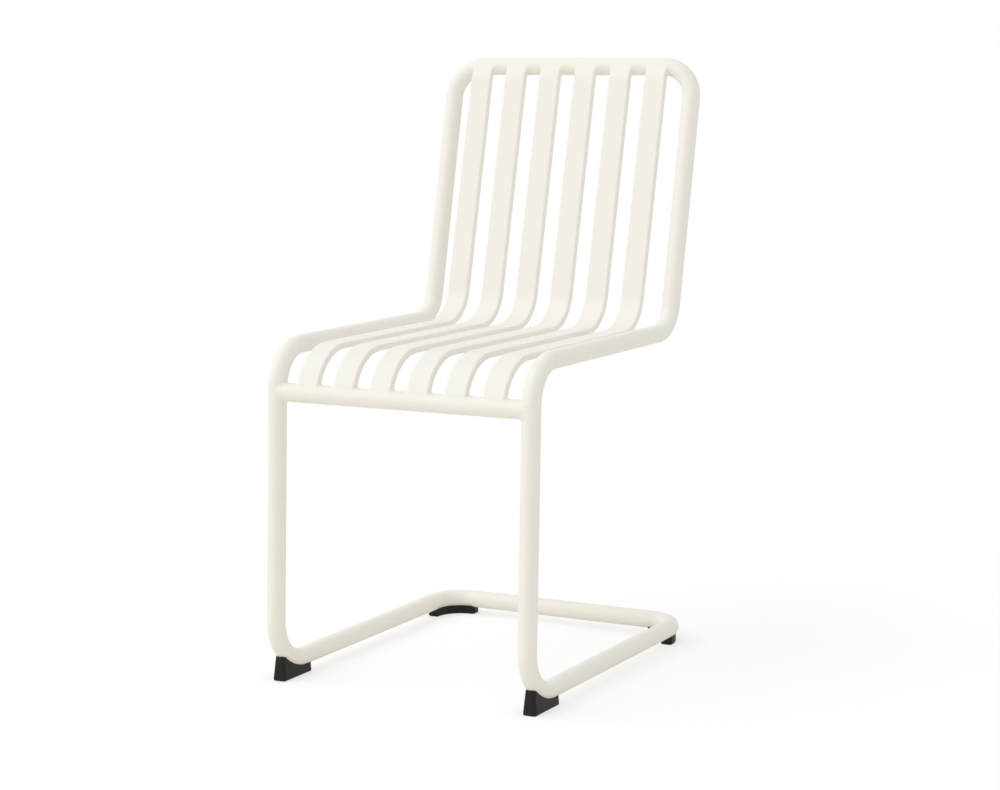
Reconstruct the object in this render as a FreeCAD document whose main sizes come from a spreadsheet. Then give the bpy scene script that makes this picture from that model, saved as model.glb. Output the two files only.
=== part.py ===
import FreeCAD, Part
import math
import os
import Sketcher

Vector = FreeCAD.Vector
Rotation = FreeCAD.Rotation
Placement = FreeCAD.Placement

# Cantilever chair of bent round tube with a slatted seat and back.
# Millimetres and degrees. +Z is up, the sitter faces -Y, and the origin is on the floor under the
# middle of the outline. Left and right are as seen from the front: left is -X and right is +X.

# Driving dimensions: name, value, what it measures
SIZES = [
    ("overall_width", 407, "outside of one side tube to outside of the other"),
    ("overall_height", 825, "floor to the top of the back"),
    ("seat_height", 464, "floor to the top of the seat tubes at the front corner"),
    ("seat_depth", 407, "front corner of the seat tube to its rear corner"),
    ("runner_length", 468, "foot corner to the centre of the rear floor bar"),
    ("leg_lean", 2.95, "how far the front legs lean back, degrees"),
    ("seat_fall", 0.5, "how far the seat falls towards the back, degrees"),
    ("back_recline", 13.2, "how far the back leans from upright, degrees"),
    ("tube_diameter", 25, "outside of the frame tube"),
    ("tube_wall", 2, "wall of the frame tube"),
    ("foot_bend", 60, "centreline radius of the bends from runner to leg"),
    ("knee_bend", 56, "centreline radius of the bends from leg to seat"),
    ("back_bend", 46, "centreline radius of the bends from seat to back and round the back's top"),
    ("base_bend", 43, "centreline radius of the rear bends of the runners"),
    ("joint_setback", 112, "foot corner to the butt joint in each runner"),
    ("sleeve_length", 60, "spigot inside each butt joint"),
    ("sleeve_wall", 2, "wall of the spigot"),
    ("sleeve_clearance", 0.1, "radial play of the spigot in the tube"),
    ("front_rail_drop", 58, "front corner of the seat down to the centre of the front rail"),
    ("cross_bar_setback", 85, "rear corner of the seat forward to the centre of the cross bar"),
    ("cross_bar_width", 30, "flat bar under the seat slats, front to back"),
    ("cross_bar_thickness", 5, "flat bar under the seat slats, top to bottom"),
    ("slat_count", 6, "slats side by side"),
    ("slat_width", 32, "one slat, across its face"),
    ("slat_side_gap", 22.8, "outer slats to the side tubes"),
    ("slat_depth", 8, "one slat, from its face to the edge of its flanges"),
    ("slat_sheet", 1.5, "sheet that the slat channel is folded from"),
    ("slat_fold_radius", 2.5, "outside radius of the slat's two folds"),
    ("slat_front_lean", 25, "how far the slat leans back where it leaves the front rail, degrees"),
    ("slat_front_bite", 0.5, "face of the slat inside the front rail's outline where it starts"),
    ("slat_seat_sink", 7.6, "face of the slat below the top of the seat tubes"),
    ("slat_back_tilt", 0.9, "how much more than the back tubes the slats lean back, degrees"),
    ("slat_back_proud", 6.1, "face of the slat in front of the back tubes, at the top rail"),
    ("slat_front_bend", 72, "bend of the slat's face over the front edge"),
    ("slat_rear_bend", 55, "bend of the slat's face from seat to back"),
    ("slat_top_bend", 45, "bend of the slat's face back to the top rail"),
    ("slat_top_bite", 1.1, "face of the slat inside the top rail's outline where it ends"),
    ("slat_tail", 1.5, "straight end of the slat inside the top rail"),
    ("weld_gap", 0.2, "root gap between pieces that are welded or seated"),
    ("glide_thickness", 9.5, "floor to the underside of the tube"),
    ("glide_width", 17.5, "across the rear glides"),
    ("glide_corner", 4.5, "upright corners of the glides"),
    ("glide_edge", 2, "edge round the sole of the glides"),
    ("rear_glide_tail", 5, "straight end of the rear glide on each side of its bend"),
    ("front_glide_width", 20, "across the sole of the front glides"),
    ("front_glide_draft", 4.5, "how far the sides of the front glides lean in, degrees"),
    ("front_glide_set", 5, "foot corner back to the front of the front glide's sole"),
    ("front_glide_length", 70, "sole of the front glide, front to back"),
    ("front_glide_rake", 3.6, "how far the front glide's nose leans back over its height"),
    ("front_glide_nose", 33, "height of the nose before the saddle is cut in it"),
    ("front_peg_inset", 18, "rear end of the front glide to the centre of its peg"),
    ("peg_diameter", 6, "peg that snaps into the tube"),
    ("peg_clearance", 0.2, "radial play of the peg in its hole"),
    ("peg_rise", 4, "peg above the inside of the tube wall"),
    ("peg_root", 3, "peg below the underside of the tube, inside the glide"),
]

doc = FreeCAD.newDocument("cantilever_chair")
sheet = doc.addObject("Spreadsheet::Sheet", "sizes")
for row, (alias, value, meaning) in enumerate(SIZES, start=1):
    sheet.set(f"A{row}", meaning)
    sheet.set(f"B{row}", str(value))
    sheet.setAlias(f"B{row}", alias)
doc.recompute()


def size(alias):
    return float(sheet.get(alias))


def add(kind, name, expressions=None, **properties):
    """A document object with its properties set and its sizes bound to the sheet."""
    item = doc.addObject(kind, name)
    for key, value in properties.items():
        setattr(item, key, value)
    for key, formula in (expressions or {}).items():
        item.setExpression(key, formula)
    return item


def rounded_path(corners, radii):
    """Straight runs through the corners, joined by tangent arcs."""
    edges = []
    start = corners[0]
    for before, corner, after, radius in zip(corners, corners[1:], corners[2:], radii):
        into = (corner - before).normalize()
        onward = (after - corner).normalize()
        half_turn = into.getAngle(onward) / 2
        reach = radius * math.tan(half_turn)
        inward = (onward - into).normalize()
        first = corner - into * reach
        middle = corner + inward * (radius / math.cos(half_turn) - radius)
        last = corner + onward * reach
        edges.append(Part.LineSegment(start, first).toShape())
        edges.append(Part.Arc(first, middle, last).toShape())
        start = last
    edges.append(Part.LineSegment(start, corners[-1]).toShape())
    return Part.Wire(edges)


# Side line of the frame, in the plane of one side: foot, knee, hip and crown are the corners
# that the bends round off.
tube_radius = size("tube_diameter") / 2
half_span = (size("overall_width") - size("tube_diameter")) / 2
foot_bend = size("foot_bend")
knee_bend = size("knee_bend")
back_bend = size("back_bend")
base_bend = size("base_bend")
weld_gap = size("weld_gap")
lean = math.radians(size("leg_lean"))
fall = math.radians(size("seat_fall"))
recline = math.radians(size("back_recline"))

runner_z = size("glide_thickness") + tube_radius
knee_z = size("seat_height") - tube_radius
crown_z = size("overall_height") - tube_radius
knee_y = (knee_z - runner_z) * math.tan(lean)
hip_y = knee_y + size("seat_depth")
hip_z = knee_z - size("seat_depth") * math.tan(fall)
crown_y = hip_y + (crown_z - hip_z) * math.tan(recline)

foot_turn = math.pi / 2 + lean
front_y = foot_bend * math.tan(foot_turn / 2) - foot_bend - tube_radius
rear_y = crown_y + tube_radius
foot_y = -(front_y + rear_y) / 2


def on_side(y, z, x=0.0):
    """A point of the side view, counted from the foot corner, in the chair's own frame."""
    return Vector(x, foot_y + y, z)


foot = on_side(0, runner_z)
knee = on_side(knee_y, knee_z)
hip = on_side(hip_y, hip_z)
crown = on_side(crown_y, crown_z)
joint = on_side(size("joint_setback"), runner_z)
rear_corner = on_side(size("runner_length"), runner_z)

seat_along = (hip - knee).normalize()
seat_up = Vector(0, -seat_along.z, seat_along.y)
left = Vector(-half_span, 0, 0)
right = Vector(half_span, 0, 0)

# Frame tube: one hoop for legs, seat sides and back, one hoop for the runners on the floor
TUBE_OUTSIDE = "sizes.tube_diameter / 2"
TUBE_INSIDE = "sizes.tube_diameter / 2 - sizes.tube_wall"
TUBE_CUTTER = "sizes.tube_diameter / 2 + sizes.weld_gap"


def swept_round(name, path, radius_formula):
    """A round bar along a path that starts in the Y direction."""
    start = path.Shape.Vertexes[0].Point
    section = add("Part::Circle", f"{name}_section", {"Radius": radius_formula},
                  Placement=Placement(start, Rotation(Vector(1, 0, 0), 90)))
    edges = [f"Edge{number}" for number in range(1, len(path.Shape.Edges) + 1)]
    return add("Part::Sweep", name, Sections=[section], Spine=(path, edges), Solid=True)


def peg_hole(name, centre):
    """An upright hole through the underside of a tube, open to the tube's bore."""
    return add("Part::Cylinder", name,
               {"Radius": "sizes.peg_diameter / 2 + sizes.peg_clearance", "Height": "sizes.tube_diameter"},
               Placement=Placement(Vector(centre.x, centre.y, runner_z - size("tube_diameter")),
                                   Rotation()))


def tube_hoop(label, corners, bends, holes):
    """A bent tube through the corners, with its bore and the holes for the glides' pegs."""
    path = add("Part::Feature", f"{label}_path")
    path.Shape = rounded_path(corners, bends)
    outside = swept_round(f"{label}_outside", path, TUBE_OUTSIDE)
    bore = swept_round(f"{label}_bore", path, TUBE_INSIDE)
    hollow = add("Part::Cut", f"{label}_hollow", Base=outside, Tool=bore)
    drills = add("Part::MultiFuse", f"{label}_drills",
                 Shapes=[peg_hole(f"{label}_hole_{side}", centre) for side, centre in holes])
    tube = add("Part::Cut", label, Base=hollow, Tool=drills)
    cutter = swept_round(f"{label}_cutter", path, TUBE_CUTTER)
    return tube, cutter


front_peg_y = size("front_glide_set") + size("front_glide_length") - size("front_peg_inset")
front_peg = on_side(front_peg_y, 0)
rear_bend_centre = Vector(half_span - base_bend, rear_corner.y - base_bend, 0)
rear_peg = rear_bend_centre + Vector(1, 1, 0).normalize() * base_bend

side_line = [joint, foot, knee, hip, crown]
side_bends = [foot_bend, knee_bend, back_bend, back_bend]
upper_tube, upper_cutter = tube_hoop(
    "upper_tube",
    [point + left for point in side_line] + [point + right for point in reversed(side_line)],
    side_bends + side_bends[::-1],
    [("left", front_peg + left), ("right", front_peg + right)])
base_tube, base_cutter = tube_hoop(
    "base_tube",
    [joint + left, rear_corner + left, rear_corner + right, joint + right],
    [base_bend, base_bend],
    [("left", Vector(-rear_peg.x, rear_peg.y, 0)), ("right", rear_peg)])
subparts = [upper_tube, base_tube]


# Spigots: short lengths of tube inside the two butt joints of the runners
SLEEVE_OUTSIDE = f"{TUBE_INSIDE} - sizes.sleeve_clearance"


def along_y(point):
    return Placement(point, Rotation(Vector(1, 0, 0), -90))


def along_x(point):
    return Placement(point, Rotation(Vector(0, 1, 0), 90))


def pipe(label, placement, length, outside, inside):
    """A straight length of tube from its start along the placement's axis."""
    body = add("Part::Cylinder", f"{label}_outside", {"Radius": outside, "Height": length},
               Placement=placement)
    bore = add("Part::Cylinder", f"{label}_bore", {"Radius": inside, "Height": length},
               Placement=placement)
    return add("Part::Cut", label, Base=body, Tool=bore)


for side, offset in (("left", left), ("right", right)):
    start = joint + offset - Vector(0, size("sleeve_length") / 2, 0)
    subparts.append(pipe(f"joint_sleeve_{side}", along_y(start), "sizes.sleeve_length",
                         SLEEVE_OUTSIDE, f"{SLEEVE_OUTSIDE} - sizes.sleeve_wall"))

# Front rail: a straight tube between the legs just under the knees, its ends coped to the legs
leg_along = (knee - foot).normalize()
rail = knee - leg_along * (size("front_rail_drop") / leg_along.z)
SPAN = "sizes.overall_width - sizes.tube_diameter"
rail_blank = pipe("front_rail_blank", along_x(rail + left), SPAN, TUBE_OUTSIDE, TUBE_INSIDE)
rail_cutter = add("Part::Cylinder", "front_rail_cutter", {"Radius": TUBE_CUTTER, "Height": SPAN},
                  Placement=along_x(rail + left))
subparts.append(add("Part::Cut", "front_rail", Base=rail_blank, Tool=upper_cutter))

# Cross bar: a flat bar between the seat tubes, under the rear of the seat slats
slat_face_above_seat = tube_radius - size("slat_seat_sink")
bar_top = slat_face_above_seat - size("slat_depth") - weld_gap
bar_corner = (hip - seat_along * (size("cross_bar_setback") + size("cross_bar_width") / 2)
              + seat_up * (bar_top - size("cross_bar_thickness")) + left)
bar_blank = add("Part::Box", "seat_cross_bar_blank",
                {"Length": SPAN, "Width": "sizes.cross_bar_width",
                 "Height": "sizes.cross_bar_thickness"},
                Placement=Placement(bar_corner, Rotation(Vector(1, 0, 0), -size("seat_fall"))))
subparts.append(add("Part::Cut", "seat_cross_bar", Base=bar_blank, Tool=upper_cutter))


# Slats: folded channels, open underneath, that run from the front rail over the seat, up the
# back and into the top rail. The path is the line of the slat's face.
def meet(point, along, other_point, other_along):
    """Where two lines of the side plane cross."""
    gap = other_point - point
    cross = along.y * other_along.z - along.z * other_along.y
    reach = (gap.y * other_along.z - gap.z * other_along.y) / cross
    return point + along * reach


slat_lean = math.radians(size("slat_front_lean"))
slat_recline = recline + math.radians(size("slat_back_tilt"))


def slat_corners():
    front_along = Vector(0, math.sin(slat_lean), math.cos(slat_lean))
    front_outward = Vector(0, -front_along.z, front_along.y)
    back_along = Vector(0, math.sin(slat_recline), math.cos(slat_recline))
    back_outward = Vector(0, -back_along.z, back_along.y)
    face_out = tube_radius + size("slat_back_proud")
    face_front = rail + front_outward * (tube_radius - size("slat_front_bite"))
    face_seat = knee + seat_up * slat_face_above_seat
    face_back = crown + back_outward * face_out
    top_drop = face_out - (tube_radius - size("slat_top_bite"))
    top_turn = math.acos(1 - top_drop / size("slat_top_bend"))
    top_reach = size("slat_top_bend") * math.tan(top_turn / 2)
    bend_start = face_back - back_along * (size("slat_top_bend") * math.sin(top_turn))
    tail_along = back_along * math.cos(top_turn) - back_outward * math.sin(top_turn)
    top = bend_start + back_along * top_reach
    return [face_front,
            meet(face_front, front_along, face_seat, seat_along),
            meet(face_seat, seat_along, face_back, back_along),
            top,
            top + tail_along * (top_reach + size("slat_tail"))]


# How sketch constraints name the ends of a line or arc, and the sketch's own axes
START, END, CENTRE = range(1, 4)
X_AXIS, Y_AXIS = range(-1, -3, -1)
ORIGIN = X_AXIS
rule = Sketcher.Constraint


def bind(sketch, constraint, formula):
    """A size constraint that follows the sheet."""
    index = sketch.addConstraint(constraint)
    sketch.setExpression(f"Constraints[{index}]", formula)


def channel_section(name):
    """The folded channel, its face on the sketch's X axis and its flanges towards +Y."""
    half = size("slat_width") / 2
    depth = size("slat_depth")
    sheet_metal = size("slat_sheet")
    fold = size("slat_fold_radius")
    flat = half - fold
    up = Vector(0, 0, 1)
    right_fold = Vector(flat, fold)
    left_fold = Vector(-flat, fold)
    quarter = math.pi / 2

    def line(x0, y0, x1, y1):
        return Part.LineSegment(Vector(x0, y0), Vector(x1, y1))

    def arc(centre, radius, start):
        return Part.ArcOfCircle(Part.Circle(centre, up, radius), start, start + quarter)

    sketch = doc.addObject("Sketcher::SketchObject", name)
    sketch.addGeometry([
        line(-flat, 0, flat, 0),
        arc(right_fold, fold, 3 * quarter),
        line(half, fold, half, depth),
        line(half, depth, half - sheet_metal, depth),
        line(half - sheet_metal, depth, half - sheet_metal, fold),
        arc(right_fold, fold - sheet_metal, 3 * quarter),
        line(flat, sheet_metal, -flat, sheet_metal),
        arc(left_fold, fold - sheet_metal, 2 * quarter),
        line(sheet_metal - half, fold, sheet_metal - half, depth),
        line(sheet_metal - half, depth, -half, depth),
        line(-half, depth, -half, fold),
        arc(left_fold, fold, 2 * quarter),
    ], False)
    face, fold_r, flange_r, lip_r, inner_r, bend_r = range(6)
    inner, bend_l, inner_l, lip_l, flange_l, fold_l = range(6, 12)
    for first, first_end, second, second_end in (
            (face, END, fold_r, START), (fold_r, END, flange_r, START),
            (inner_r, END, bend_r, END), (bend_r, START, inner, START),
            (inner, END, bend_l, END), (bend_l, START, inner_l, START),
            (flange_l, END, fold_l, START), (fold_l, END, face, START)):
        sketch.addConstraint(rule("Tangent", first, first_end, second, second_end))
    for first, second in ((flange_r, lip_r), (lip_r, inner_r), (inner_l, lip_l), (lip_l, flange_l)):
        sketch.addConstraint(rule("Coincident", first, END, second, START))
    sketch.addConstraint(rule("Coincident", fold_r, CENTRE, bend_r, CENTRE))
    sketch.addConstraint(rule("Coincident", fold_l, CENTRE, bend_l, CENTRE))
    for upright in (flange_r, inner_r, inner_l, flange_l):
        sketch.addConstraint(rule("Vertical", upright))
    for level in (lip_r, inner, lip_l):
        sketch.addConstraint(rule("Horizontal", level))
    sketch.addConstraint(rule("Horizontal", flange_r, END, flange_l, START))
    sketch.addConstraint(rule("Symmetric", face, START, face, END, Y_AXIS))
    sketch.addConstraint(rule("PointOnObject", face, START, X_AXIS))
    sketch.addConstraint(rule("Equal", fold_r, fold_l))
    bind(sketch, rule("Radius", fold_r, fold), "sizes.slat_fold_radius")
    bind(sketch, rule("DistanceX", flange_l, END, flange_r, START, 2 * half), "sizes.slat_width")
    bind(sketch, rule("DistanceY", face, END, flange_r, END, depth), "sizes.slat_depth")
    bind(sketch, rule("DistanceX", lip_r, END, lip_r, START, sheet_metal), "sizes.slat_sheet")
    return sketch


slat_count = int(size("slat_count"))
clear_width = size("overall_width") - 2 * size("tube_diameter")
slat_row = clear_width - 2 * size("slat_side_gap") - size("slat_width")
slat_pitch = slat_row / (slat_count - 1)
slat_bends = [size("slat_front_bend"), size("slat_rear_bend"), size("slat_top_bend")]
slat_tools = add("Part::MultiFuse", "slat_end_cutter", Shapes=[upper_cutter, rail_cutter])
for number in range(1, slat_count + 1):
    centre_x = (number - (slat_count + 1) / 2) * slat_pitch
    corners = [point + Vector(centre_x, 0, 0) for point in slat_corners()]
    path = add("Part::Feature", f"slat_{number}_path")
    path.Shape = rounded_path(corners, slat_bends)
    section = channel_section(f"slat_{number}_section")
    section.Placement = Placement(corners[0], Rotation(Vector(1, 0, 0), -size("slat_front_lean")))
    edges = [f"Edge{count}" for count in range(1, len(path.Shape.Edges) + 1)]
    blank = add("Part::Sweep", f"slat_{number}_blank", Sections=[section], Spine=(path, edges),
                Solid=True)
    subparts.append(add("Part::Cut", f"slat_{number}", Base=blank, Tool=slat_tools))


# Glides: moulded soles that saddle the tube and hold to it with a peg
def origin_plane(body, role):
    return next(item for item in body.Origin.OriginFeatures if item.Role == role)


def new_sketch(body, purpose, role):
    sketch = body.newObject("Sketcher::SketchObject", f"{body.Name}_{purpose}")
    sketch.AttachmentSupport = [(origin_plane(body, role), "")]
    sketch.MapMode = "FlatFace"
    return sketch


SMOOTH_SEAM = math.radians(1)


def is_corner(shape, edge):
    """True where two faces meet at an angle, and not in a smooth seam."""
    middle = edge.valueAt((edge.FirstParameter + edge.LastParameter) / 2)
    first, second = [face.normalAt(*face.Surface.parameter(middle))
                     for face in shape.ancestorsOfType(edge, Part.Face)]
    return first.getAngle(second) > SMOOTH_SEAM


def rounded(body, base, radius_formula, wanted):
    """A fillet on those corners of the feature that the test picks."""
    doc.recompute()
    names = [f"Edge{number}" for number, edge in enumerate(base.Shape.Edges, start=1)
             if wanted(edge.BoundBox) and is_corner(base.Shape, edge)]
    fillet = body.newObject("PartDesign::Fillet", f"{base.Name}_rounded")
    fillet.Base = (base, names)
    fillet.setExpression("Radius", radius_formula)
    return fillet


NEARLY_ZERO = 0.001


def stands_on_sole(box):
    return abs(box.ZMin) < NEARLY_ZERO and box.ZLength > NEARLY_ZERO


def lies_in_sole(box):
    return abs(box.ZMax) < NEARLY_ZERO


def glide_block(name, draw_outline, role, side_type, height_formula, draw_slivers=None):
    """A moulded block with rounded corners and a soft edge round its sole."""
    body = doc.addObject("PartDesign::Body", name)
    outline = new_sketch(body, "outline", role)
    draw_outline(outline)
    block = body.newObject("PartDesign::Pad", f"{name}_pad")
    block.Profile = outline
    block.SideType = side_type
    block.setExpression("Length", height_formula)
    if draw_slivers:
        slivers = new_sketch(body, "slivers", "XZ_Plane")
        draw_slivers(slivers)
        block = body.newObject("PartDesign::Pocket", f"{name}_draft")
        block.Profile = slivers
        block.SideType = "Symmetric"
        block.Type = "ThroughAll"
    corners = rounded(body, block, "sizes.glide_corner", stands_on_sole)
    body.Tip = rounded(body, corners, "sizes.glide_edge", lies_in_sole)
    return body


def front_outline(sketch):
    """Side view of the front glide: a flat sole and a nose that rises with the bend."""
    toe = size("front_glide_set")
    heel = toe + size("front_glide_length")
    points = [Vector(toe, 0), Vector(heel, 0), Vector(heel, runner_z),
              Vector(toe + size("front_glide_rake"), size("front_glide_nose"))]
    for count, point in enumerate(points):
        sketch.addGeometry(Part.LineSegment(point, points[(count + 1) % len(points)]), False)
    sole, end, saddle, nose = range(4)
    for first, second in ((sole, end), (end, saddle), (saddle, nose), (nose, sole)):
        sketch.addConstraint(rule("Coincident", first, END, second, START))
    sketch.addConstraint(rule("PointOnObject", sole, START, X_AXIS))
    sketch.addConstraint(rule("Horizontal", sole))
    sketch.addConstraint(rule("Vertical", end))
    bind(sketch, rule("DistanceX", ORIGIN, START, sole, START, toe), "sizes.front_glide_set")
    bind(sketch, rule("DistanceX", sole, START, sole, END, heel - toe), "sizes.front_glide_length")
    bind(sketch, rule("DistanceY", end, START, end, END, runner_z),
         "sizes.glide_thickness + sizes.tube_diameter / 2")
    bind(sketch, rule("DistanceX", nose, END, nose, START, size("front_glide_rake")),
         "sizes.front_glide_rake")
    bind(sketch, rule("DistanceY", nose, END, nose, START, size("front_glide_nose")),
         "sizes.front_glide_nose")


def front_slivers(sketch):
    """Front view of what comes off the front glide's sides, so that they lean in from the sole."""
    half = size("front_glide_width") / 2
    height = size("front_glide_nose")
    draft = math.radians(size("front_glide_draft"))
    for across in (half, -half):
        lean_in = math.copysign(height * math.tan(draft), across)
        points = [Vector(across, 0), Vector(across, height), Vector(across - lean_in, height)]
        for count, point in enumerate(points):
            sketch.addGeometry(Part.LineSegment(point, points[(count + 1) % len(points)]), False)
    side, top, slope, other_side, other_top, other_slope = range(6)
    for first, second in ((side, top), (top, slope), (slope, side), (other_side, other_top),
                          (other_top, other_slope), (other_slope, other_side)):
        sketch.addConstraint(rule("Coincident", first, END, second, START))
    for upright in (side, other_side):
        sketch.addConstraint(rule("Vertical", upright))
    for level in (top, other_top):
        sketch.addConstraint(rule("Horizontal", level))
    sketch.addConstraint(rule("PointOnObject", side, START, X_AXIS))
    sketch.addConstraint(rule("Symmetric", side, START, other_side, START, Y_AXIS))
    sketch.addConstraint(rule("Symmetric", top, END, other_top, END, Y_AXIS))
    bind(sketch, rule("DistanceX", ORIGIN, START, side, START, half), "sizes.front_glide_width / 2")
    bind(sketch, rule("DistanceY", side, START, side, END, height), "sizes.front_glide_nose")
    bind(sketch, rule("Angle", side, START, slope, END, draft), "sizes.front_glide_draft * 1 deg")


def rear_outline(sketch):
    """Plan of the rear glide: a quarter ring under the corner bend, with a straight tail each end."""
    outer = base_bend + size("glide_width") / 2
    inner = base_bend - size("glide_width") / 2
    tail = size("rear_glide_tail")
    centre = Vector(0, 0)
    up = Vector(0, 0, 1)

    def line(x0, y0, x1, y1):
        return Part.LineSegment(Vector(x0, y0), Vector(x1, y1))

    sketch.addGeometry([
        Part.ArcOfCircle(Part.Circle(centre, up, outer), 0, math.pi / 2),
        line(0, outer, -tail, outer),
        line(-tail, outer, -tail, inner),
        line(-tail, inner, 0, inner),
        Part.ArcOfCircle(Part.Circle(centre, up, inner), 0, math.pi / 2),
        line(inner, 0, inner, -tail),
        line(inner, -tail, outer, -tail),
        line(outer, -tail, outer, 0),
    ], False)
    outside, back_out, back_end, back_in, inside, front_in, front_end, front_out = range(8)
    for first, first_end, second, second_end in (
            (outside, END, back_out, START), (back_out, END, back_end, START),
            (back_end, END, back_in, START), (back_in, END, inside, END),
            (inside, START, front_in, START), (front_in, END, front_end, START),
            (front_end, END, front_out, START), (front_out, END, outside, START)):
        sketch.addConstraint(rule("Coincident", first, first_end, second, second_end))
    for arc in (outside, inside):
        sketch.addConstraint(rule("Coincident", arc, CENTRE, ORIGIN, START))
        sketch.addConstraint(rule("PointOnObject", arc, START, X_AXIS))
        sketch.addConstraint(rule("PointOnObject", arc, END, Y_AXIS))
    for level in (back_out, back_in, front_end):
        sketch.addConstraint(rule("Horizontal", level))
    for upright in (back_end, front_in, front_out):
        sketch.addConstraint(rule("Vertical", upright))
    bind(sketch, rule("Radius", outside, outer), "sizes.base_bend + sizes.glide_width / 2")
    bind(sketch, rule("Radius", inside, inner), "sizes.base_bend - sizes.glide_width / 2")
    bind(sketch, rule("DistanceX", back_out, END, back_out, START, tail), "sizes.rear_glide_tail")
    bind(sketch, rule("DistanceY", front_out, START, front_out, END, tail), "sizes.rear_glide_tail")


def glide(label, block, cutter, peg_centre):
    """The block with the tube's saddle cut out of it and its peg set in the saddle."""
    saddle = add("Part::Cut", f"{label}_saddle", Base=block, Tool=cutter)
    peg_foot = Vector(peg_centre.x, peg_centre.y, size("glide_thickness") - size("peg_root"))
    peg = add("Part::Cylinder", f"{label}_peg",
              {"Radius": "sizes.peg_diameter / 2",
               "Height": "sizes.peg_root + sizes.tube_wall + sizes.peg_rise"},
              Placement=Placement(peg_foot, Rotation()))
    return add("Part::Fuse", label, Base=saddle, Tool=peg)


QUARTER_TURN = 90
for side, offset, turn in (("left", left, QUARTER_TURN), ("right", right, 0)):
    front_block = glide_block(f"front_block_{side}", front_outline, "YZ_Plane", "Symmetric",
                              "sizes.front_glide_width", front_slivers)
    front_block.Placement = Placement(on_side(0, 0) + offset, Rotation())
    subparts.append(glide(f"glide_front_{side}", front_block, upper_cutter, front_peg + offset))
    rear_block = glide_block(f"rear_block_{side}", rear_outline, "XY_Plane", "One side",
                             "sizes.glide_thickness + sizes.tube_diameter / 2")
    across = math.copysign(1, offset.x)
    rear_block.Placement = Placement(Vector(across * rear_bend_centre.x, rear_bend_centre.y, 0),
                                     Rotation(Vector(0, 0, 1), turn))
    subparts.append(glide(f"glide_rear_{side}", rear_block, base_cutter,
                          Vector(across * rear_peg.x, rear_peg.y, 0)))

# Every object has to have been made, and every piece has to be one sound solid, before writing
doc.recompute()
for item in doc.Objects:
    if "Invalid" in item.State or "Error" in item.State:
        raise RuntimeError(f"{item.Name} was not made: {item.State}")
for piece in subparts:
    shape = piece.Shape
    if shape.isNull() or not shape.isValid() or len(shape.Solids) != 1:
        raise RuntimeError(f"{piece.Label} is not one sound solid")

os.makedirs("parts", exist_ok=True)
for piece in subparts:
    piece.Shape.exportStep(f"parts/{piece.Label}.step")
    box = piece.Shape.BoundBox
    print(f"{piece.Label}: {piece.Shape.Volume / 1000:.1f} cm3, "
          f"x {box.XMin:.1f} to {box.XMax:.1f}, y {box.YMin:.1f} to {box.YMax:.1f}, "
          f"z {box.ZMin:.1f} to {box.ZMax:.1f}")
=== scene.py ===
# %% [markdown]
# A cantilever chair, dressed for a studio picture.
# The construction comes from CAD as a fixed frame. Every piece that this lesson makes stands in the
# same frame, in metres, with the floor at height zero and the sitter facing -Y.

# %% Load the frame
import math

import bmesh
import bpy
from mathutils import Matrix, Vector
from mathutils.geometry import intersect_line_line


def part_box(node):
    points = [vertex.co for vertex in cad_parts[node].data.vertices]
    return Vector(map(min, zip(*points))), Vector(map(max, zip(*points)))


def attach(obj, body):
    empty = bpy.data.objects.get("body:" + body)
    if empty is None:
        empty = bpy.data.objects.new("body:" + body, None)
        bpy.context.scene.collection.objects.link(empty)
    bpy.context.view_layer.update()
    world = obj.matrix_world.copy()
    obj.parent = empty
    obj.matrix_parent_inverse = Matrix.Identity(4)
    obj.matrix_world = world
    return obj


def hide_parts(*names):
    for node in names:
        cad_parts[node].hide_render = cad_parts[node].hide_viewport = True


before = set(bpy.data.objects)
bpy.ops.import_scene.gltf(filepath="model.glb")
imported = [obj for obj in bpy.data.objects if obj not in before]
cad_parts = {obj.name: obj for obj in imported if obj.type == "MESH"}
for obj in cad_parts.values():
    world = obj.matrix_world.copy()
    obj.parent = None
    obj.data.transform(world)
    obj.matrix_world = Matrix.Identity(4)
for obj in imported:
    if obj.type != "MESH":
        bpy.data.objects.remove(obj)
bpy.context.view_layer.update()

scene = bpy.context.scene
print("nodes in the frame:", len(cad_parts))

# %% [markdown]
# The chair's side view is four straight runs: the runner on the floor, the leg, the seat and the
# back. Where two runs cross is a corner, and a bend rounds it off. Most places can be measured on
# the frame. The angles, the bends and the height of the seat tubes are written here instead.

# %% Corners of the side view
LEG_LEAN = math.radians(2.95)
SEAT_FALL = math.radians(0.5)
BACK_RECLINE = math.radians(13.2)
SEAT_TUBE_TOP = 0.464
FOOT_BEND = 0.060
KNEE_BEND = 0.056
BACK_BEND = 0.046
BASE_BEND = 0.043

upper_low, upper_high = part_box("upper_tube")
base_low, base_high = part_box("base_tube")
rail_low, rail_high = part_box("front_rail")
tube_radius = (base_high.z - base_low.z) / 2
half_span = base_high.x - tube_radius
runner_z = base_low.z + tube_radius
rear_bar_y = base_high.y - tube_radius
joint_y = base_low.y

foot_turn = math.pi / 2 + LEG_LEAN
foot_reach = FOOT_BEND * math.tan(foot_turn / 2)
foot = Vector((0, upper_low.y - foot_reach + FOOT_BEND + tube_radius, runner_z))
knee_z = SEAT_TUBE_TOP - tube_radius
knee = Vector((0, foot.y + (knee_z - runner_z) * math.tan(LEG_LEAN), knee_z))
crown = Vector((0, upper_high.y - tube_radius, upper_high.z - tube_radius))

# The hip is where the line of the seat and the line of the back cross.
fall_slope = math.tan(SEAT_FALL)
recline_slope = math.tan(BACK_RECLINE)
hip_y = (crown.y - (crown.z - knee.z - knee.y * fall_slope) * recline_slope) / (
    1 + fall_slope * recline_slope)
hip = Vector((0, hip_y, knee.z - (hip_y - knee.y) * fall_slope))

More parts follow.
